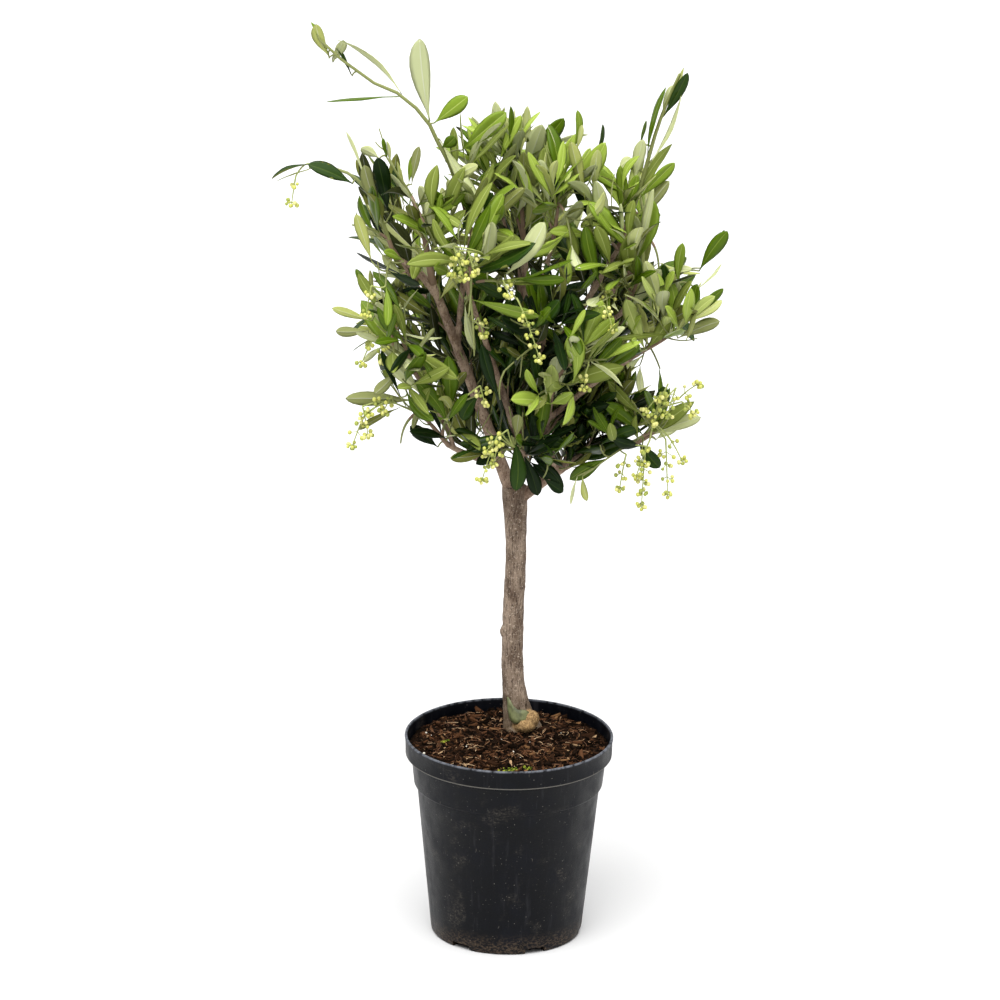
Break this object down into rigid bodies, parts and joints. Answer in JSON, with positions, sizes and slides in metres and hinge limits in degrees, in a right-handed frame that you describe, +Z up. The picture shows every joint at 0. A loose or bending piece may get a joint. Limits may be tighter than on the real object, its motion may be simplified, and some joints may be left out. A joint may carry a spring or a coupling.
{
  "type": "potted olive tree",
  "caption": "Young standard olive tree with an open leafy crown and hanging panicles of flower buds, growing in a round tapered nursery pot of soil.",
  "frame": {"origin": "middle of the pot's flat underside, where it meets the floor", "axes": "+Z up along the trunk; -Y is the front, the side the tree is seen from"},
  "size_m": [0.4474, 0.3885, 0.9499],
  "materials": {
    "pot": "near-black moulded plastic, scuffed and dusty",
    "soil": "dark brown bark and peat chips",
    "bark": "grey-brown young olive bark",
    "foliage": "leathery leaves, dark green above and sage below"
  },
  "bodies": {
    "root": {"bough_back": "bark", "bough_back_left": "bark", "bough_back_low": "bark", "bough_back_right": "bark", "bough_back_top": "bark", "bough_centre": "bark", "bough_front": "bark", "bough_front_low": "bark", "bough_left": "bark", "bough_left_back": "bark", "bough_low_left": "bark", "bough_right": "bark", "bough_right_back": "bark", "bough_right_mid": "bark", "bough_right_upper": "bark", "bough_spray_left": "bark", "bough_top_front": "bark", "bough_top_left": "bark", "bough_top_right": "bark", "foliage_back": "foliage", "foliage_back_left": "foliage", "foliage_back_low": "foliage", "foliage_back_right": "foliage", "foliage_back_top": "foliage", "foliage_centre": "foliage", "foliage_front_low": "foliage", "foliage_front_upper": "foliage", "foliage_left": "foliage", "foliage_left_back": "foliage", "foliage_low_left": "foliage", "foliage_right": "foliage", "foliage_right_back": "foliage", "foliage_right_low": "foliage", "foliage_right_mid": "foliage", "foliage_right_upper": "foliage", "foliage_spray_left": "foliage", "foliage_spray_top_left": "foliage", "foliage_spray_top_right": "foliage", "foliage_top": "foliage", "foliage_top_front": "foliage", "foliage_upper_left": "foliage", "limb_centre": "bark", "limb_left": "bark", "limb_right": "bark", "pot": "pot", "soil": "soil", "trunk": "bark"}
  },
  "joints": []
}
